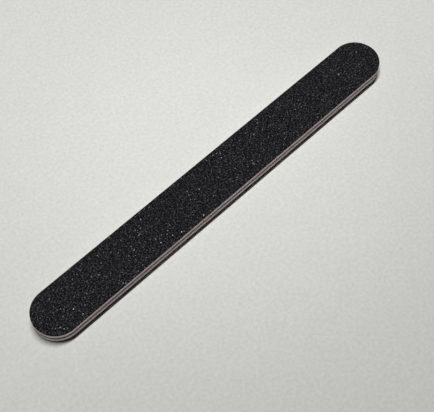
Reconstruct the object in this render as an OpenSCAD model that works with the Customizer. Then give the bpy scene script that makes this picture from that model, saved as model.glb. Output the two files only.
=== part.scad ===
// Straight emery board with full-round ends: eleven plies, die-cut as one stack.
// A stiff plastic core lies between two foam pads, and each pad is faced with abrasive paper.
// The board lies flat. The origin is the middle of its underside, X runs along it and Y across it.

/* [Outline] */
// Length over the two round ends
board_length = 178; // [100:1:240]
// Width of the board, which is also the diameter of its ends
board_width = 19.3; // [12:0.1:32]

/* [Plies] */
// Thickness of the plastic core
core_thickness = 1.1; // [0.5:0.05:2.5]
// Thickness of each foam pad
foam_thickness = 1.5; // [0.8:0.05:4]
// Thickness of each of the four adhesive films
film_thickness = 0.05; // [0.03:0.01:0.15]
// Thickness of each sheet of backing paper
paper_thickness = 0.4; // [0.1:0.01:0.5]
// Thickness of each coat of grit, from the paper to the tips of the grains
grit_thickness = 0.3; // [0.16:0.01:0.4]

/* [Cut edges] */
// How deep the edge of a foam pad is drawn in, halfway up the pad
foam_dish = 0.14; // [0.04:0.01:0.3]
// Height of the square lip that the glue keeps at the top and bottom of the foam's edge
foam_lip = 0.1; // [0.05:0.01:0.2]
// Width of the bevel that the die presses along the outer edge of each grit coat
grit_bevel = 0.1; // [0.03:0.01:0.15]
// Width of the bevel that the die leaves along both edges of the core
core_bevel = 0.1; // [0.03:0.01:0.2]
// How far each adhesive film stops short of the cut edge
film_setback = 0.12; // [0.05:0.01:0.4]

/* [Hidden] */

// The two sides of the board that a ply can lie on
UPPER = 0;
LOWER = 1;

// The outline: straight flanks of this length between two half rounds of this radius
end_radius = board_width / 2;
flank_length = board_length - board_width;

// Heights above the board's middle plane, ply by ply from the core out to the grit
core_face = core_thickness / 2;
foam_base = core_face + film_thickness;
foam_face = foam_base + foam_thickness;
paper_base = foam_face + film_thickness;
grit_base = paper_base + paper_thickness;
board_face = grit_base + grit_thickness;

// The foam's dish is an arc through both lips: its radius follows from its height and its depth
dish_height = foam_thickness - 2 * foam_lip;
dish_radius = (dish_height * dish_height / 4 + foam_dish * foam_dish) / (2 * foam_dish);

// Sides of a full circle, in the outline's ends and in the small arcs of the sections
$fn = 96;

// Carries a half section, drawn from the middle line out to the edge, round the whole outline.
// The section's width lies across the board, and its height runs up from the plane z = 0.
module along_outline() {
    for (half = [0, 1])
        mirror([0, half, 0])
            rotate([90, 0, 90])
                linear_extrude(flank_length, center = true)
                    children();
    for (end = [0, 180])
        rotate(end)
            translate([flank_length / 2, 0, 0])
                rotate(-90)
                    rotate_extrude(angle = 180)
                        children();
}

// Lays a ply on the upper or the lower side, at its height from the board's middle plane
module laid_at(side, height) {
    translate([0, 0, board_face])
        mirror([0, 0, side])
            translate([0, 0, height])
                children();
}

// A ply that the die cuts square, or that stops short of the cut by a setback
module square_section(thickness, setback = 0) {
    square([end_radius - setback, thickness]);
}

// Foam squashes under the die and springs back, so its edge ends up hollow between two lips
module foam_section() {
    difference() {
        square_section(foam_thickness);
        translate([end_radius + dish_radius - foam_dish, foam_thickness / 2])
            circle(dish_radius);
    }
}

// The die breaks the grit's outer edge, and leaves a square strip of edge next to the paper
module grit_section() {
    polygon([
        [0, 0],
        [end_radius, 0],
        [end_radius, grit_thickness - grit_bevel],
        [end_radius - grit_bevel, grit_thickness],
        [0, grit_thickness]
    ]);
}

// The core is cut across its whole height, with a bevel above and below
module core_section() {
    polygon([
        [0, 0],
        [end_radius - core_bevel, 0],
        [end_radius, core_bevel],
        [end_radius, core_thickness - core_bevel],
        [end_radius - core_bevel, core_thickness],
        [0, core_thickness]
    ]);
}

// Stiff strip of coloured plastic in the middle of the board
module plastic_core() {
    color([0.36, 0.12, 0.17])
        laid_at(UPPER, -core_face)
            along_outline() core_section();
}

// Film of adhesive between the core and a foam pad
module core_adhesive(side) {
    color([0.78, 0.74, 0.68])
        laid_at(side, core_face)
            along_outline() square_section(film_thickness, film_setback);
}

// Closed-cell foam pad, pale with a tint of mauve
module foam_pad(side) {
    color([0.80, 0.76, 0.77])
        laid_at(side, foam_base)
            along_outline() foam_section();
}

// Film of adhesive between a foam pad and the backing paper
module paper_adhesive(side) {
    color([0.78, 0.74, 0.68])
        laid_at(side, foam_face)
            along_outline() square_section(film_thickness, film_setback);
}

// Black backing paper that carries the grit
module backing_paper(side) {
    color([0.10, 0.09, 0.10])
        laid_at(side, paper_base)
            along_outline() square_section(paper_thickness);
}

// Coat of black grains in dark resin
module grit_coat(side) {
    color([0.13, 0.13, 0.14])
        laid_at(side, grit_base)
            along_outline() grit_section();
}

grit_coat(LOWER);  // lower_grit_coat
backing_paper(LOWER);  // lower_backing_paper
paper_adhesive(LOWER);  // lower_paper_adhesive
foam_pad(LOWER);  // lower_foam_pad
core_adhesive(LOWER);  // lower_core_adhesive
plastic_core();
core_adhesive(UPPER);  // upper_core_adhesive
foam_pad(UPPER);  // upper_foam_pad
paper_adhesive(UPPER);  // upper_paper_adhesive
backing_paper(UPPER);  // upper_backing_paper
grit_coat(UPPER);  // upper_grit_coat
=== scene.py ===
"""Looks of a straight emery board: grit faces, cut foam, paper and core edges, on a pale table."""

import math

import bpy
import numpy as np
from bpy.props import FloatProperty, FloatVectorProperty, IntProperty, PointerProperty
from mathutils import Matrix, Vector, kdtree
from mathutils.geometry import delaunay_2d_cdt


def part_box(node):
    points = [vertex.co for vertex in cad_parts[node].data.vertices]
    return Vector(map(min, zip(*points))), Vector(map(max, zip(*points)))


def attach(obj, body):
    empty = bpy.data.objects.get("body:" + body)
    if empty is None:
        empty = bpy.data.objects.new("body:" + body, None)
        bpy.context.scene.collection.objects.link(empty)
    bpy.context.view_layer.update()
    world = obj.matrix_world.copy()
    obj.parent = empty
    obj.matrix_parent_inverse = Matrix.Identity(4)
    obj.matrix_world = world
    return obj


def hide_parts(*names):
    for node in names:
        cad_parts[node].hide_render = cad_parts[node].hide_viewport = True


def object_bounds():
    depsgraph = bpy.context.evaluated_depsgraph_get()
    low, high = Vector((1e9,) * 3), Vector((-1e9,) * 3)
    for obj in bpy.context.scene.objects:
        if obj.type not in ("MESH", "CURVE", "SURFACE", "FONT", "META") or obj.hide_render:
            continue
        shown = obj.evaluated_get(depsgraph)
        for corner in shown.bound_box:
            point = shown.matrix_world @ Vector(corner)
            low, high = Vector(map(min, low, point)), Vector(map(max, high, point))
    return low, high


bl_info = {
    "name": "Emery board",
    "version": (1, 0, 0),
    "blender": (4, 5, 0),
    "location": "3D View > Sidebar > Emery board",
    "description": "Builds the grit, paper, foam and core of an emery board, and the table under it",
    "category": "Object",
}

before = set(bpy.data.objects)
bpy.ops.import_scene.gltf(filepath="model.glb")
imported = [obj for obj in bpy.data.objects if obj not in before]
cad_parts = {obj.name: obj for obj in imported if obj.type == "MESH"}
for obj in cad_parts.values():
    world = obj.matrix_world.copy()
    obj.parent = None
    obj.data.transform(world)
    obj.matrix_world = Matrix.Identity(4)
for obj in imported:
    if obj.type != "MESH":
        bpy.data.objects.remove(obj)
CAD_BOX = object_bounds()
BODY = "root"
MM = 0.001
MAP_NAME = "OFBake"

# The outline of the board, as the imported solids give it
HALF_LENGTH = CAD_BOX[1].x
END_RADIUS = CAD_BOX[1].y
BOARD_THICKNESS = CAD_BOX[1].z

# Heights of the grains' corners, from 0 at the resin to 1 at the tips, and how many are tips
TIP_HEIGHTS = (0.55, 1.0)
GAP_HEIGHTS = (0.0, 0.5)
TIP_SHARE = 0.78

# The rim of a coat: the tone of its cut wall, the share of their heights that its corners keep in
# the finish, how unevenly the die presses them down, and how many pitches inside them the next start
RIM_TONE = 0.6
RIM_HEIGHT = 0.5
RIM_PRESS = (0.7, 1.3)
RIM_GAP = 0.6

# How far round a cluster of grains its neighbours are looked for, in clusters
NEIGHBOUR_REACH = 2.2

# Reach of the foam's cut cells, as a share of their distance, and their depth, as a share of the deepest
CELL_REACH = (0.45, 0.85)
CELL_DEPTHS = (0.35, 1.0)

# Rows of points up the edge of the paper, and up the core between its bevels
PAPER_ROWS = 4
CORE_ROWS = 5

# Boxes in the flat layouts, as left, foot, right and top: an edge's wall, a coat's rim and its grains
WALL_BOX = (0.0, 0.03, 1.0, 1.0)
RIM_BOX = (0.1, 0.0, 1.0, 0.045)
GRAINS_BOX = (0.0, 0.05, 1.0, 1.0)

# Margins in the flat layouts: in a run of the wall, and in a square of grains across and up
RUN_MARGIN = 0.06
SQUARE_MARGINS = (0.02, 0.01)

# Size of a hidden flat face in the layouts, and how far the upper one lies from the lower one
HIDDEN_SIZE = 0.02
HIDDEN_STEP = 0.03

# Width of the camera's sensor, in millimetres
SENSOR_WIDTH = 36.0


class GritSettings(bpy.types.PropertyGroup):
    """Size and colour of the grains"""

    pitch: FloatProperty(
        name="Grain pitch", description="Distance between neighbouring corners of the grains",
        default=0.202 * MM, min=0.15 * MM, precision=6, unit="LENGTH",
    )
    relief: FloatProperty(
        name="Relief", description="Height from the resin between the grains to their tips",
        default=0.09 * MM, min=0.0, precision=6, unit="LENGTH",
    )
    jitter: FloatProperty(
        name="Jitter", description="How far a grain's corner strays from its row, in pitches",
        default=0.32, min=0.0, max=0.45, subtype="FACTOR",
    )
    edge_drop: FloatProperty(
        name="Edge drop", description="How far the die presses the outermost grains down",
        default=0.08 * MM, min=0.0, precision=6, unit="LENGTH",
    )
    grain_colour: FloatVectorProperty(
        name="Grain", description="Colour of a common grain",
        default=(0.0167, 0.0167, 0.0185), size=3, min=0.0, max=1.0, subtype="COLOR",
    )
    resin_colour: FloatVectorProperty(
        name="Resin", description="Colour of the resin between the grains",
        default=(0.0025, 0.0025, 0.0028), size=3, min=0.0, max=1.0, subtype="COLOR",
    )
    grain_spread: FloatProperty(
        name="Grain spread", description="How much neighbouring grains differ in tone",
        default=0.5, min=0.0,
    )
    cluster: FloatProperty(
        name="Cluster", description="Size of the clusters of grains that share a tone",
        default=0.36 * MM, min=0.1 * MM, precision=6, unit="LENGTH",
    )
    cluster_spread: FloatProperty(
        name="Cluster spread", description="How much the clusters differ in tone",
        default=1.3, min=0.0,
    )
    lightest: FloatProperty(
        name="Lightest", description="Tone of the lightest clusters, against a common one",
        default=4.5, min=1.0,
    )
    seed: IntProperty(name="Seed", description="Seed of the grains' places, heights and tones", default=7)


class FoamSettings(bpy.types.PropertyGroup):
    """Cut edge and colour of the foam pads"""

    step: FloatProperty(
        name="Edge step", description="Distance between the columns of the cut edge's mesh",
        default=0.115 * MM, min=0.05 * MM, precision=6, unit="LENGTH",
    )
    dish: FloatProperty(
        name="Dish", description="How deep the cut edge is drawn in, halfway up the pad",
        default=0.14 * MM, min=0.0, precision=6, unit="LENGTH",
    )
    lip: FloatProperty(
        name="Lip", description="Height of the straight lip that the glue keeps",
        default=0.1 * MM, min=0.0, precision=6, unit="LENGTH",
    )
    cell: FloatProperty(
        name="Cell", description="Mean distance between the cut cells",
        default=0.24 * MM, min=0.1 * MM, precision=6, unit="LENGTH",
    )
    cell_depth: FloatProperty(
        name="Cell depth", description="Depth of the deepest cut cells",
        default=0.06 * MM, min=0.0, precision=6, unit="LENGTH",
    )
    wall_colour: FloatVectorProperty(
        name="Cell walls", description="Colour of the cut walls between the cells",
        default=(0.95, 0.845, 0.855), size=3, min=0.0, max=1.0, subtype="COLOR",
    )
    # Painted shade: the colour inside the cut cells is darker than the walls, as shade in the pits; the
    # foam's batches also drift towards it at random
    cell_shade_and_batch_colour: FloatVectorProperty(
        name="Cells", description="Colour inside the cut cells",
        default=(0.83, 0.70, 0.71), size=3, min=0.0, max=1.0, subtype="COLOR",
    )
    seed: IntProperty(name="Seed", description="Seed of the cells' places", default=23)


class SheetSettings(bpy.types.PropertyGroup):
    """Cut edges and colours of the core, the paper and the adhesive"""

    core_step: FloatProperty(
        name="Core step", description="Distance between the cut marks on the core's edge",
        default=0.16 * MM, min=0.05 * MM, precision=6, unit="LENGTH",
    )
    core_bevel: FloatProperty(
        name="Core bevel", description="Width of the bevel along the core's edges",
        default=0.1 * MM, min=0.0, precision=6, unit="LENGTH",
    )
    cut_mark: FloatProperty(
        name="Cut mark", description="Depth of the marks that the die leaves on the core",
        default=0.012 * MM, min=0.0, precision=6, unit="LENGTH",
    )
    core_colour: FloatVectorProperty(
        name="Core", description="Colour of the plastic core",
        default=(0.062, 0.017, 0.024), size=3, min=0.0, max=1.0, subtype="COLOR",
    )
    paper_step: FloatProperty(
        name="Paper step", description="Distance between the columns of the paper's edge",
        default=0.2 * MM, min=0.05 * MM, precision=6, unit="LENGTH",
    )
    paper_fray: FloatProperty(
        name="Paper fray", description="How uneven the cut fibres are along the paper's edge",
        default=0.025 * MM, min=0.0, precision=6, unit="LENGTH",
    )
    paper_colour: FloatVectorProperty(
        name="Paper", description="Colour of the black backing paper",
        default=(0.012, 0.009, 0.008), size=3, min=0.0, max=1.0, subtype="COLOR",
    )
    adhesive_colour: FloatVectorProperty(
        name="Adhesive", description="Colour of the adhesive films",
        default=(0.58, 0.53, 0.46), size=3, min=0.0, max=1.0, subtype="COLOR",
    )
    seed: IntProperty(name="Seed", description="Seed of the cut marks and fibres", default=41)


class StageSettings(bpy.types.PropertyGroup):
    """Table, light and camera"""

    table_radius: FloatProperty(
        name="Table radius", description="Radius of the table's top",
        default=0.9, min=0.2, unit="LENGTH",
    )
    table_colour: FloatVectorProperty(
        name="Table", description="Colour of the table where it is lightest",
        default=(0.781, 0.787, 0.750), size=3, min=0.0, max=1.0, subtype="COLOR",
    )
    # Painted light on the table: a painted falloff makes the table lighter in one direction, and a painted
    # pool of light makes it lighter round the board
    painted_light_bearing: FloatProperty(
        name="Light bearing", description="Direction in plan, from +X, in which the table gets lighter",
        default=math.radians(70.8), unit="ROTATION",
    )
    painted_light_span: FloatVectorProperty(
        name="Light span", description="Where in that direction the table starts and stops getting lighter",
        default=(-0.2, 0.1), size=2, unit="LENGTH",
    )
    painted_dim_share: FloatProperty(
        name="Dim share", description="Share of the table's lightness that is left on its dim side",
        default=0.70, min=0.0, max=1.0, subtype="FACTOR",
    )
    painted_pool_radius: FloatProperty(
        name="Pool radius", description="Radius of the slightly lighter pool round the board",
        default=0.075, min=0.02, unit="LENGTH",
    )
    painted_pool_share: FloatProperty(
        name="Pool share", description="Share of the table's lightness that is lost outside the pool",
        default=0.15, min=0.0, max=1.0, subtype="FACTOR",
    )
    lamp_place: FloatVectorProperty(
        name="Lamp place", description="Where the middle of the lamp hangs over the table",
        default=(0.33, 0.50, 3.0), size=3, unit="LENGTH",
    )
    lamp_size: FloatVectorProperty(
        name="Lamp size", description="Length of the lamp along the board, and its width",
        default=(1.86, 0.11), size=2, unit="LENGTH",
    )
    lamp_level: FloatProperty(
        name="Lamp level", description="Share of a surface's own colour that the lamp alone brings out",
        default=0.965, min=0.0,
    )
    sky_level: FloatProperty(
        name="Sky level", description="Share of a surface's own colour that the light all round brings out",
        default=0.006, min=0.0,
    )
    camera_bearing: FloatProperty(
        name="Camera bearing", description="Direction of the camera round the board",
        default=math.radians(-42.92), unit="ROTATION",
    )
    camera_height: FloatProperty(
        name="Camera height", description="Angle of the camera above the table",
        default=math.radians(60.0), unit="ROTATION",
    )
    camera_roll: FloatProperty(
        name="Camera roll", description="Turn of the camera about its own line of sight",
        default=math.radians(-1.45), unit="ROTATION",
    )
    camera_distance: FloatProperty(
        name="Camera distance", description="Distance from the camera to the point that it looks at",
        default=0.380, min=0.05, unit="LENGTH",
    )
    camera_aim: FloatVectorProperty(
        name="Camera aim", description="Point on the upper face that the camera looks at",
        default=(-0.00886, -0.00933), size=2, unit="LENGTH",
    )
    camera_lens: FloatProperty(
        name="Lens", description="Focal length on a sensor 36 mm wide, in millimetres",
        default=83.89, min=10.0,
    )


class BoardSettings(bpy.types.PropertyGroup):
    """All settings of the emery board"""

    grit: PointerProperty(type=GritSettings)
    foam: PointerProperty(type=FoamSettings)
    sheet: PointerProperty(type=SheetSettings)
    stage: PointerProperty(type=StageSettings)


class Value:
    """A socket in a shader tree. Arithmetic on it adds Math nodes."""

    def __init__(self, tree, socket):
        self.tree = tree
        self.socket = socket

    def math(self, operation, first, second):
        return self.tree.value("ShaderNodeMath", {"operation": operation}, {0: first, 1: second})

    def __add__(self, other):
        return self.math("ADD", self, other)

    def __sub__(self, other):
        return self.math("SUBTRACT", self, other)

    def __mul__(self, other):
        return self.math("MULTIPLY", self, other)

    def __truediv__(self, other):
        return self.math("DIVIDE", self, other)

    def __pow__(self, other):
        return self.math("POWER", self, other)

    def __rsub__(self, other):
        return self.math("SUBTRACT", other, self)

    def __rtruediv__(self, other):
        return self.math("DIVIDE", other, self)

    __radd__ = __add__
    __rmul__ = __mul__


class ShaderTree:
    """A node tree that any node is added to by its type, its settings and its sockets."""

    def __init__(self, owner):
        owner.use_nodes = True
        self.nodes = owner.node_tree.nodes
        self.links = owner.node_tree.links
        self.nodes.clear()

    def node(self, kind, settings=None, inputs=None):
        """Adds a node. Settings come first, and an input is a number, a colour or a Value."""
        node = self.nodes.new(kind)
        for name, setting in (settings or {}).items():
            setattr(node, name, setting)
        for name, given in (inputs or {}).items():
            if isinstance(given, Value):
                self.links.new(given.socket, node.inputs[name])
            else:
                node.inputs[name].default_value = given
        return node

    def value(self, kind, settings=None, inputs=None, output=0):
        """Adds a node and returns one of its outputs as a Value."""
        return Value(self, self.node(kind, settings, inputs).outputs[output])

    def mix(self, factor, first, second):
        """Mixes two colours."""
        first, second = opaque(first), opaque(second)
        return self.value(
            "ShaderNodeMix", {"data_type": "RGBA"}, {0: factor, 6: first, 7: second}, output=2
        )

    def smooth(self, value, low, high):
        """Goes smoothly from 0 at low to 1 at high."""
        return self.value(
            "ShaderNodeMapRange", {"interpolation_type": "SMOOTHSTEP"},
            {"Value": value, "From Min": low, "From Max": high},
        )

    def noise(self, place, size, detail=2.0, roughness=0.5):
        """Noise from 0 to 1 with features of the given size in metres."""
        return self.value(
            "ShaderNodeTexNoise", {"noise_dimensions": "3D"},
            {"Vector": place, "Scale": 1 / size, "Detail": detail, "Roughness": roughness},
        )

    def cells(self, place, size, output="Distance"):
        """Cells of the given size in metres: the distance from their middles, or a colour each."""
        return self.value(
            "ShaderNodeTexVoronoi", {"feature": "F1"},
            {"Vector": place, "Scale": 1 / size}, output=output,
        )

    def scaled(self, colour, factor):
        """A colour made lighter or darker by a factor."""
        return self.value(
            "ShaderNodeVectorMath", {"operation": "SCALE"}, {0: tuple(colour), "Scale": factor}
        )

    def stretched(self, place, factors):
        """A place scaled along its axes, so that a pattern runs along one of them."""
        return self.value(
            "ShaderNodeVectorMath", {"operation": "MULTIPLY"}, {0: place, 1: factors}
        )

    def towards(self, place, bearing):
        """How far a place lies in a direction in plan, which is a bearing from +X."""
        way = (math.cos(bearing), math.sin(bearing), 0.0)
        return self.value(
            "ShaderNodeVectorMath", {"operation": "DOT_PRODUCT"}, {0: place, 1: way}, output="Value"
        )

    def place(self):
        """Where a point of the surface is on its piece, in metres."""
        return self.value("ShaderNodeTexCoord", output="Object")

    def number_at(self, attribute):
        """A number that the mesh carries for each of its points or faces."""
        return self.value("ShaderNodeAttribute", {"attribute_name": attribute}, output="Fac")

    def bump(self, height, distance, strength):
        """A normal that follows a height between 0 and 1, worth a distance in metres."""
        return self.value(
            "ShaderNodeBump", None,
            {"Height": height, "Distance": distance, "Strength": strength},
        )

    def surface(self, **sockets):
        """Adds the surface shader and the output. Sockets are named with underscores for spaces."""
        named = {name.replace("_", " "): given for name, given in sockets.items()}
        shader = self.value("ShaderNodeBsdfPrincipled", None, named)
        self.node("ShaderNodeOutputMaterial", None, {"Surface": shader})


def opaque(colour):
    """A colour with full alpha, or the Value that stands for one."""
    return colour if isinstance(colour, Value) else (*colour[:3], 1.0)


def paler(colour, factor, lift=0.0):
    """A colour that is lighter by a factor and a lift, up to white."""
    return [min(1.0, factor * part + lift) for part in colour]


def new_material(name):
    """A new material and its empty tree."""
    material = bpy.data.materials.new(name)
    return material, ShaderTree(material)


def grit_material(grit):
    """Black mineral grains in dark resin. Each grain has its own tone, and a few glint."""
    shard_size = 0.085 * MM
    darkest_shard = 0.7
    shard_span = 0.6
    facet_size = 0.09 * MM
    pore_size = 0.05 * MM
    facet_depth = 0.035 * MM
    facet_share = 0.75
    resin_heights = (0.0, 0.5)
    glint_tones = (4.0, 8.0)
    material, tree = new_material("black_grit")
    place = tree.place()
    tone = tree.number_at("grain_tone")
    height = tree.number_at("grain_height")
    shards = tree.cells(place, shard_size, output="Color")
    shard = tree.value("ShaderNodeSeparateColor", None, {"Color": shards}, output="Red")
    grain = tree.scaled(grit.grain_colour, tone * (darkest_shard + shard_span * shard))
    glint = tree.smooth(tone, *glint_tones)
    facets = tree.cells(place, facet_size)
    pores = tree.noise(place, pore_size, detail=1.0)
    relief = facets * facet_share + pores * (1 - facet_share)
    tree.surface(
        Base_Color=tree.mix(tree.smooth(height, *resin_heights), grit.resin_colour, grain),
        Metallic=glint,
        Roughness=0.42 - 0.12 * glint + 0.1 * shard,
        Specular_IOR_Level=0.02,
        Normal=tree.bump(relief, facet_depth, strength=0.7),
    )
    return material


def foam_material(foam):
    """Closed-cell foam, pale with a tint of mauve. The cut cells are painted a little darker, as shade in
    the pits.
    """
    batch_size = 6 * MM
    batch_share = 0.25
    skin_size = 0.06 * MM
    skin_depth = 0.012 * MM
    material, tree = new_material("pale_foam")
    place = tree.place()
    depth = tree.number_at("cell_depth")
    batch = tree.smooth(tree.noise(place, batch_size), low=0.3, high=0.7)
    # Painted shade: points deep in a cut cell take the darker cell colour, as shade in the pit
    cut = tree.mix(depth, foam.wall_colour, foam.cell_shade_and_batch_colour)
    skin = tree.cells(place, skin_size)
    tree.surface(
        # Batches of foam drift at random towards the darker cell colour
        Base_Color=tree.mix(batch * batch_share, cut, foam.cell_shade_and_batch_colour),
        Roughness=0.82 - 0.12 * depth,
        Specular_IOR_Level=0.3,
        Normal=tree.bump(skin, skin_depth, strength=0.6),
    )
    return material


def core_material(sheet):
    """Dark maroon plastic. Its cut edge is satin, with fine marks across it."""
    mark_size = 0.09 * MM
    mark_stretch = (1.0, 1.0, 0.08)
    mark_depth = 0.012 * MM
    mark_share = 0.6
    scuff_size = 0.9 * MM
    material, tree = new_material("maroon_plastic")
    place = tree.place()
    marks = tree.noise(tree.stretched(place, mark_stretch), mark_size)
    scuff = tree.noise(place, scuff_size, detail=3.0)
    share = tree.smooth(marks, low=0.45, high=0.8) * mark_share
    scratched = paler(sheet.core_colour, factor=1.8, lift=0.01)
    tree.surface(
        Base_Color=tree.mix(share, sheet.core_colour, scratched),
        Roughness=0.38 + 0.25 * scuff,
        Specular_IOR_Level=0.45,
        Normal=tree.bump(marks, mark_depth, strength=0.6),
    )
    return material


def paper_material(sheet):
    """Black paper filled with latex. Its cut edge shows short paler fibres."""
    fibre_size = 0.06 * MM
    fibre_stretch = (0.35, 0.35, 1.6)
    fibre_depth = 0.015 * MM
    material, tree = new_material("black_paper")
    place = tree.stretched(tree.place(), fibre_stretch)
    fibres = tree.noise(place, fibre_size, detail=3.0, roughness=0.6)
    share = tree.smooth(fibres, low=0.5, high=0.75)
    fibre = paler(sheet.paper_colour, factor=2.6, lift=0.008)
    tree.surface(
        Base_Color=tree.mix(share, sheet.paper_colour, fibre),
        Roughness=0.78 - 0.1 * fibres,
        Specular_IOR_Level=0.08,
        Normal=tree.bump(fibres, fibre_depth, strength=0.7),
    )
    return material


def adhesive_material(sheet):
    """Tacky film, slightly yellow, with the odd bubble in it."""
    bubble_gap = 0.7 * MM
    material, tree = new_material("adhesive_film")
    bubbles = tree.smooth(tree.cells(tree.place(), bubble_gap), low=0.25, high=0.05)
    bubble = paler(sheet.adhesive_colour, factor=1.25)
    tree.surface(
        Base_Color=tree.mix(bubbles, sheet.adhesive_colour, bubble),
        Roughness=0.3 + 0.2 * bubbles,
        Specular_IOR_Level=0.5,
    )
    return material


def table_material(stage):
    """Pale matte table with a faint mottle. Painted light makes it lighter to one side, and a painted pool
    of light makes it a little lighter near the board.
    """
    painted_pool_falloff = 4.0
    mottle_size = 9 * MM
    mottle_share = 0.06
    speck_size = 1.3 * MM
    speck_share = 0.29
    material, tree = new_material("pale_table")
    place = tree.place()
    # Painted light: the table's colour gets lighter towards one side, as if lit more there
    side = tree.smooth(tree.towards(place, stage.painted_light_bearing), *stage.painted_light_span)
    away = tree.value("ShaderNodeVectorMath", {"operation": "LENGTH"}, {0: place}, output="Value")
    # Painted pool of light: the table's colour is a little lighter near the board
    pool = 1 / (1 + (away / stage.painted_pool_radius) ** painted_pool_falloff)
    mottle = tree.noise(place, mottle_size, detail=4.0, roughness=0.55) - 0.5
    speck = tree.noise(place, speck_size) - 0.5
    level = stage.painted_dim_share + (1 - stage.painted_dim_share) * side
    level = level * (1 - stage.painted_pool_share + stage.painted_pool_share * pool)
    level = level * (1 + mottle_share * mottle + speck_share * speck)
    tree.surface(
        Base_Color=tree.scaled(stage.table_colour, level),
        Roughness=0.75,
        Specular_IOR_Level=0.1,
    )
    return material


def outline(step):
    """Points round the board, anticlockwise from its right end, and the way out at each."""
    run = HALF_LENGTH - END_RADIUS
    turn = np.linspace(-math.pi / 2, math.pi / 2, round(math.pi * END_RADIUS / step), endpoint=False)
    round_end = np.stack([np.cos(turn), np.sin(turn)], 1)
    along = np.linspace(run, -run, round(2 * run / step), endpoint=False)
    flank = np.stack([along, np.full(len(along), END_RADIUS)], 1)
    flank_out = np.tile([0.0, 1.0], (len(along), 1))
    half = np.concatenate([round_end * END_RADIUS + [run, 0.0], flank])
    half_out = np.concatenate([round_end, flank_out])
    return np.concatenate([half, -half]), np.concatenate([half_out, -half_out])


def add_piece(name, points, faces, material, node):
    """Adds a mesh that stands for a CAD node, wears a material and rides on the board."""
    mesh = bpy.data.meshes.new(name)
    mesh.from_pydata(points.tolist(), [], faces)
    mesh.validate()
    mesh.materials.append(material)
    piece = bpy.data.objects.new(name, mesh)
    bpy.context.scene.collection.objects.link(piece)
    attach(piece, BODY)
    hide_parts(node)
    return piece


def add_numbers(piece, name, domain, numbers):
    """Stores one number for each point or face of a piece, for its material to read."""
    attribute = piece.data.attributes.new(name, "FLOAT", domain)
    attribute.data.foreach_set("value", np.asarray(numbers, np.float32))


def add_map(piece, columns, rows, runs, wall_box=WALL_BOX, grains_box=None):
    """Lays the faces out flat, so that a picture baked from the material keeps its small detail.

    The wall goes into wall_box as a stack of runs, and the grains into grains_box as three rows
    of three squares, cut from the length of the board. The flat faces inside the board are small
    and share a corner of the layout.
    """
    mesh = piece.data
    sides = np.empty(len(mesh.polygons), np.int32)
    mesh.polygons.foreach_get("loop_total", sides)
    vertex = np.empty(len(mesh.loops), np.int32)
    mesh.loops.foreach_get("vertex_index", vertex)
    place = np.empty(len(mesh.vertices) * 3, np.float32)
    mesh.vertices.foreach_get("co", place)
    x, y = place.reshape(-1, 3)[vertex, :2].T
    face = np.repeat(np.arange(len(sides)), sides)
    walls = (rows - 1) * columns
    column = face % columns
    corner = np.where((vertex % columns == 0) & (column == columns - 1), columns, vertex % columns)
    run_length = math.ceil(columns / runs)
    run = column // run_length
    height = vertex // columns / (rows - 1)
    wall = np.column_stack([corner / run_length - run, (run + within(height, RUN_MARGIN)) / runs])
    layout = np.column_stack([x / HALF_LENGTH + 1, y / END_RADIUS + 1]) / 2
    is_last = (face == len(sides) - 1)[:, None]
    hidden = layout * HIDDEN_SIZE + [HIDDEN_STEP, 0.0] * is_last
    places = np.where((face < walls)[:, None], in_box(wall, wall_box), hidden)
    if grains_box:
        across = 3
        squares = across**2
        middle = np.bincount(face, x) / sides / HALF_LENGTH
        square = np.clip(((middle + 1) / 2 * squares).astype(int), 0, squares - 1)[face]
        along = layout[:, 0] * squares - square
        grains = np.column_stack([
            (square % across + within(along, SQUARE_MARGINS[0])) / across,
            (square // across + within(layout[:, 1], SQUARE_MARGINS[1])) / across,
        ])
        places = np.where((face > walls)[:, None], in_box(grains, grains_box), places)
    mesh.uv_layers.new(name=MAP_NAME).data.foreach_set("uv", places.astype(np.float32).ravel())


def within(share, margin):
    """A share from 0 to 1, drawn in by a margin at both ends."""
    return margin + (1 - 2 * margin) * share


def in_box(places, box):
    """Fits places in the unit square into a box."""
    left, foot, right, top = box
    return places * [right - left, top - foot] + [left, foot]


def wall_faces(rows, columns):
    """Quads of a closed wall whose points run round the board row by row, from the bottom up."""
    column = np.arange(columns)
    after = (column + 1) % columns
    quads = [
        np.stack([low + column, low + after, low + columns + after, low + columns + column], 1)
        for low in range(0, (rows - 1) * columns, columns)
    ]
    return np.concatenate(quads).tolist()


def edge_mesh(heights, inset, step):
    """Points and faces of a flat sheet with a shaped edge. inset has a row for each height."""
    ring, out = outline(step)
    points = np.concatenate([
        np.column_stack([ring - out * depth[:, None], np.full(len(ring), height)])
        for height, depth in zip(heights, inset)
    ])
    columns = len(ring)
    faces = wall_faces(len(heights), columns)
    faces.append(list(range(columns))[::-1])
    faces.append(list(range(len(points) - columns, len(points))))
    return points, faces


def strayed_rows(gap, jitter, random):
    """Places in staggered rows over the whole board, each strayed by a share of the gap."""
    rows = []
    for index, y in enumerate(np.arange(-END_RADIUS, END_RADIUS, gap * math.sqrt(3) / 2)):
        x = np.arange(-HALF_LENGTH, HALF_LENGTH, gap) + index % 2 * gap / 2
        rows.append(np.column_stack([x, np.full(len(x), y)]))
    places = np.concatenate(rows)
    return places + random.uniform(-1, 1, places.shape) * jitter * gap


def tree_of(places):
    """A tree that finds the nearest of some places in plan."""
    tree = kdtree.KDTree(len(places))
    for index, (x, y) in enumerate(places):
        tree.insert((x, y, 0), index)
    tree.balance()
    return tree


def grain_corners(grit, random):
    """Corners of the grains in plan, inside the outline."""
    corners = strayed_rows(grit.pitch, grit.jitter, random)
    past_flank = np.maximum(np.abs(corners[:, 0]) - (HALF_LENGTH - END_RADIUS), 0)
    inside = np.hypot(past_flank, corners[:, 1]) < END_RADIUS - RIM_GAP * grit.pitch
    return corners[inside]


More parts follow.
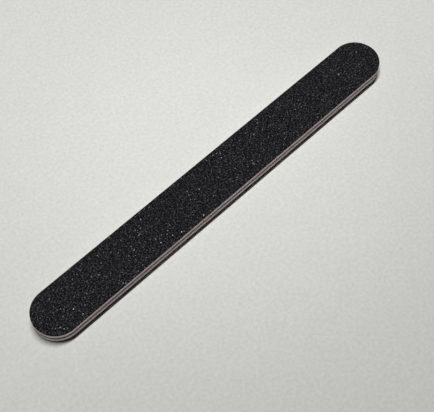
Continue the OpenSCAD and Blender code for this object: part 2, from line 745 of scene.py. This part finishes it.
def grain_heights(count, random):
    """Heights of the grains' corners from 0 at the resin to 1 at the tips. Most are near the tips."""
    tips = random.uniform(*TIP_HEIGHTS, count)
    gaps = random.uniform(*GAP_HEIGHTS, count)
    return np.where(random.uniform(size=count) < TIP_SHARE, tips, gaps)


def grain_tones(grit, plan, random):
    """Brightness of the grain at each corner, around 1. Grains in a cluster share most of it.

    A cluster differs from the mean of those round it, so light and dark ones lie evenly mixed.
    """
    middles = strayed_rows(grit.cluster, grit.jitter, random)
    tree = tree_of(middles)
    lift = random.normal(size=len(middles))
    reach = NEIGHBOUR_REACH * grit.cluster
    around = [
        lift[[index for _, index, _ in tree.find_range((x, y, 0), reach)]].mean()
        for x, y in middles
    ]
    lift -= around
    shared = np.minimum(np.exp(grit.cluster_spread * lift / lift.std()), grit.lightest)
    cluster = [tree.find((x, y, 0))[1] for x, y in plan]
    own = np.exp(random.normal(0, grit.grain_spread, len(plan)))
    return shared[cluster] / shared.mean() * own / own.mean()


def grit_mesh(grit, inner_face, outer_face, seed):
    """Points, faces, tones and heights of a coat of grains. Its outer face may be above or below."""
    random = np.random.default_rng(seed)
    ring, _ = outline(grit.pitch)
    corners = grain_corners(grit, random)
    plan = np.concatenate([ring, corners])
    count = len(ring)
    border = [(index, (index + 1) % count) for index in range(count)]
    per_metre = 1 / MM
    inside_only = 1
    same_place = 1e-6
    in_mm = [tuple(corner) for corner in plan * per_metre]
    found = delaunay_2d_cdt(in_mm, border, [], inside_only, same_place)
    triangles = [list(face) for face in found[2]]
    plan = np.array([tuple(corner) for corner in found[0]]) / per_metre
    above = np.sign(outer_face - inner_face)
    height = grain_heights(len(plan), random)
    level = outer_face - above * grit.relief * (1 - height)
    level[:count] = outer_face - above * grit.edge_drop * random.uniform(*RIM_PRESS, count)
    height[:count] *= RIM_HEIGHT
    upper = np.column_stack([plan, level])
    foot = np.column_stack([ring, np.full(count, inner_face)])
    points = np.concatenate([foot, upper])
    rim = wall_faces(2, count)
    grains = [[index + count for index in face] for face in triangles]
    faces = rim + [list(range(count))[::-1]] + grains
    corner_tone = grain_tones(grit, plan, random)
    corner_of = np.array(triangles)
    highest = corner_of[np.arange(len(corner_of)), height[corner_of].argmax(1)]
    tones = np.concatenate([np.full(count + 1, RIM_TONE), corner_tone[highest]])
    heights = np.concatenate([np.zeros(count), height])
    if above < 0:
        faces = [face[::-1] for face in faces]
    return points, faces, tones, heights


def cell_pits(foam, ring, rows, seed):
    """How deep each point of the foam's edge lies in a cut cell, from 0 to 1, row by row."""
    random = np.random.default_rng(seed)
    columns = len(ring)
    length = columns * foam.step
    height = rows[-1] - rows[0]
    count = round(length * height / foam.cell**2)
    middles = np.column_stack([
        random.uniform(0, length, count), random.uniform(0, height, count)
    ])
    reach = random.uniform(*CELL_REACH, count) * foam.cell
    deepest = random.uniform(*CELL_DEPTHS, count)
    tree = tree_of(middles)
    pits = np.zeros((len(rows), columns))
    for row, z in enumerate(rows):
        for column in range(columns):
            _, index, away = tree.find((column * foam.step, z - rows[0], 0))
            pits[row, column] = deepest[index] * max(0.0, 1 - (away / reach[index]) ** 2)
    return pits


class EMERY_OT_grit_coats(bpy.types.Operator):
    """Cover both faces with black grains"""

    bl_idname = "emery_board.grit_coats"
    bl_label = "Grit coats"

    def execute(self, context):
        grit = context.scene.emery_board.grit
        material = grit_material(grit)
        for side, seed in (("upper", grit.seed), ("lower", grit.seed + 1)):
            low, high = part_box(side + "_grit_coat")
            inner, outer = (low.z, high.z) if side == "upper" else (high.z, low.z)
            points, faces, tones, heights = grit_mesh(grit, inner, outer, seed)
            piece = add_piece(side + "_grains", points, faces, material, side + "_grit_coat")
            add_numbers(piece, "grain_tone", "FACE", tones)
            add_numbers(piece, "grain_height", "POINT", heights)
            columns = len(outline(grit.pitch)[0])
            add_map(piece, columns, rows=2, runs=7, wall_box=RIM_BOX, grains_box=GRAINS_BOX)
        return {"FINISHED"}


class EMERY_OT_backing_papers(bpy.types.Operator):
    """Lay the black paper under each coat of grit"""

    bl_idname = "emery_board.backing_papers"
    bl_label = "Backing papers"

    def execute(self, context):
        sheet = context.scene.emery_board.sheet
        material = paper_material(sheet)
        for side, seed in (("upper", sheet.seed), ("lower", sheet.seed + 1)):
            random = np.random.default_rng(seed)
            low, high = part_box(side + "_backing_paper")
            heights = np.linspace(low.z, high.z, PAPER_ROWS)
            columns = len(outline(sheet.paper_step)[0])
            inset = random.uniform(0, sheet.paper_fray, (len(heights), columns))
            points, faces = edge_mesh(heights, inset, sheet.paper_step)
            name = side + "_paper_sheet"
            piece = add_piece(name, points, faces, material, side + "_backing_paper")
            add_map(piece, columns, PAPER_ROWS, runs=29)
        return {"FINISHED"}


class EMERY_OT_foam_pads(bpy.types.Operator):
    """Cut the two foam pads, with open cells along their edges"""

    bl_idname = "emery_board.foam_pads"
    bl_label = "Foam pads"

    def execute(self, context):
        foam = context.scene.emery_board.foam
        material = foam_material(foam)
        for side, seed in (("upper", foam.seed), ("lower", foam.seed + 1)):
            low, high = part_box(side + "_foam_pad")
            rows = np.linspace(low.z, high.z, round((high.z - low.z) / foam.step) + 1)
            ring, _ = outline(foam.step)
            pits = cell_pits(foam, ring, rows, seed)
            middle = (low.z + high.z) / 2
            half_dish = (high.z - low.z) / 2 - foam.lip
            dish = foam.dish * np.clip(1 - ((rows - middle) / half_dish) ** 2, 0, 1)
            inset = dish[:, None] + foam.cell_depth * pits
            inset[0], inset[-1] = 0.0, 0.0
            points, faces = edge_mesh(rows, inset, foam.step)
            piece = add_piece(side + "_foam", points, faces, material, side + "_foam_pad")
            add_numbers(piece, "cell_depth", "POINT", pits.ravel())
            add_map(piece, len(ring), len(rows), runs=15)
        return {"FINISHED"}


class EMERY_OT_plastic_core(bpy.types.Operator):
    """Cut the plastic core, with the die's marks across its edge"""

    bl_idname = "emery_board.plastic_core"
    bl_label = "Plastic core"

    def execute(self, context):
        sheet = context.scene.emery_board.sheet
        random = np.random.default_rng(sheet.seed + 2)
        low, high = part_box("plastic_core")
        bevel = sheet.core_bevel
        between = np.linspace(low.z + bevel, high.z - bevel, CORE_ROWS)
        heights = np.array([low.z, *between, high.z])
        columns = len(outline(sheet.core_step)[0])
        marks = random.uniform(0, sheet.cut_mark, columns)
        inset = np.tile(marks, (len(heights), 1))
        inset[0] += bevel
        inset[-1] += bevel
        points, faces = edge_mesh(heights, inset, sheet.core_step)
        piece = add_piece("core_strip", points, faces, core_material(sheet), "plastic_core")
        add_map(piece, columns, len(heights), runs=18)
        return {"FINISHED"}


class EMERY_OT_adhesive_films(bpy.types.Operator):
    """Give the adhesive films their finish"""

    bl_idname = "emery_board.adhesive_films"
    bl_label = "Adhesive films"

    def execute(self, context):
        material = adhesive_material(context.scene.emery_board.sheet)
        for side in ("upper", "lower"):
            for layer in ("paper", "core"):
                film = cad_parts[f"{side}_{layer}_adhesive"]
                film.data.materials.clear()
                film.data.materials.append(material)
        return {"FINISHED"}


class EMERY_OT_stage(bpy.types.Operator):
    """Set the table, the light and the camera"""

    bl_idname = "emery_board.stage"
    bl_label = "Table, light and camera"

    def execute(self, context):
        stage = context.scene.emery_board.stage
        context.scene.view_settings.view_transform = "Standard"
        add_table(stage)
        add_lamp(stage)
        set_sky(context.scene, stage)
        add_camera(context.scene, stage)
        return {"FINISHED"}


def add_table(stage):
    """Adds the table's top as a disc under the board."""
    sides = 128
    turn = np.linspace(0, 2 * math.pi, sides, endpoint=False)
    x, y = stage.table_radius * np.cos(turn), stage.table_radius * np.sin(turn)
    points = np.column_stack([x, y, np.full(sides, CAD_BOX[0].z)])
    mesh = bpy.data.meshes.new("table")
    mesh.from_pydata(points.tolist(), [], [list(range(sides))])
    mesh.materials.append(table_material(stage))
    table = bpy.data.objects.new("table", mesh)
    bpy.context.scene.collection.objects.link(table)


def direction(bearing, height):
    """The way from the board to something at a bearing round it and an angle above the table."""
    return Vector((
        math.sin(bearing) * math.cos(height),
        -math.cos(bearing) * math.cos(height),
        math.sin(height),
    ))


def add_lamp(stage):
    """Adds the one lamp, a long tube that hangs along the board, a little behind it."""
    lamp = bpy.data.lights.new("lamp", "AREA")
    lamp.shape = "RECTANGLE"
    lamp.size, lamp.size_y = stage.lamp_size
    place = Vector(stage.lamp_place)
    # Under a lamp that faces down, a white table is as light as the lamp's power over pi squared,
    # times the squared cosine of the light's slant over its squared way, as a mean along the lamp.
    steps = 41
    along = np.linspace(-0.5, 0.5, steps) * stage.lamp_size[0]
    squared_way = (place.x + along) ** 2 + place.y**2 + place.z**2
    share = float(np.mean(place.z**2 / squared_way**2))
    lamp.energy = stage.lamp_level * math.pi**2 / share
    holder = bpy.data.objects.new("lamp", lamp)
    holder.location = place
    bpy.context.scene.collection.objects.link(holder)


def set_sky(scene, stage):
    """Lights the board faintly from all round. Camera and gloss see the far table's colour instead."""
    world = bpy.data.worlds.new("sky")
    scene.world = world
    tree = ShaderTree(world)
    rays = tree.node("ShaderNodeLightPath")
    kinds = ("Is Camera Ray", "Is Glossy Ray", "Is Transmission Ray")
    camera, glossy, through = [Value(tree, rays.outputs[kind]) for kind in kinds]
    seen = camera + glossy + through
    shown = tree.value("ShaderNodeMath", {"operation": "MINIMUM"}, {0: seen, 1: 1.0})
    # The far table's colour carries the table's painted light: the dim side's share and the loss outside
    # the painted pool of light
    far_share = (1 - stage.painted_pool_share) * (1 + stage.painted_dim_share) / 2
    far_table = [part * far_share for part in stage.table_colour]
    soft = [stage.sky_level] * 3
    background = tree.value("ShaderNodeBackground", None, {"Color": tree.mix(shown, soft, far_table)})
    tree.node("ShaderNodeOutputWorld", None, {"Surface": background})


def add_camera(scene, stage):
    """Adds the camera. It looks at its aim on the upper face, turned by its roll."""
    back = direction(stage.camera_bearing, stage.camera_height)
    level = Vector((math.cos(stage.camera_bearing), math.sin(stage.camera_bearing), 0.0))
    up = back.cross(level)
    roll = stage.camera_roll
    right = math.cos(roll) * level + math.sin(roll) * up
    top = math.cos(roll) * up - math.sin(roll) * level
    lens = bpy.data.cameras.new("camera")
    lens.sensor_width = SENSOR_WIDTH
    lens.lens = stage.camera_lens
    camera = bpy.data.objects.new("camera", lens)
    turned = Matrix((right, top, back)).transposed().to_4x4()
    aim = Vector((*stage.camera_aim, BOARD_THICKNESS))
    camera.matrix_world = Matrix.Translation(aim + back * stage.camera_distance) @ turned
    scene.collection.objects.link(camera)
    scene.camera = camera


class EMERY_PT_panel(bpy.types.Panel):
    """Sizes, colours and steps of the emery board"""

    bl_idname = "EMERY_PT_panel"
    bl_label = "Emery board"
    bl_space_type = "VIEW_3D"
    bl_region_type = "UI"
    bl_category = "Emery board"

    def draw(self, context):
        settings = context.scene.emery_board
        for group in (settings.grit, settings.foam, settings.sheet, settings.stage):
            box = self.layout.box()
            for name in group.__annotations__:
                box.prop(group, name)
        for operator in OPERATORS:
            self.layout.operator(operator.bl_idname)


OPERATORS = (
    EMERY_OT_grit_coats,
    EMERY_OT_backing_papers,
    EMERY_OT_foam_pads,
    EMERY_OT_plastic_core,
    EMERY_OT_adhesive_films,
    EMERY_OT_stage,
)
CLASSES = (
    GritSettings, FoamSettings, SheetSettings, StageSettings, BoardSettings,
    *OPERATORS, EMERY_PT_panel,
)


def register():
    for added in CLASSES:
        bpy.utils.register_class(added)
    bpy.types.Scene.emery_board = PointerProperty(type=BoardSettings)


def unregister():
    del bpy.types.Scene.emery_board
    for added in reversed(CLASSES):
        bpy.utils.unregister_class(added)


def main():
    register()
    bpy.ops.emery_board.grit_coats()
    bpy.ops.emery_board.backing_papers()
    bpy.ops.emery_board.foam_pads()
    bpy.ops.emery_board.plastic_core()
    bpy.ops.emery_board.adhesive_films()
    bpy.ops.emery_board.stage()


if __name__ == "__main__":
    main()
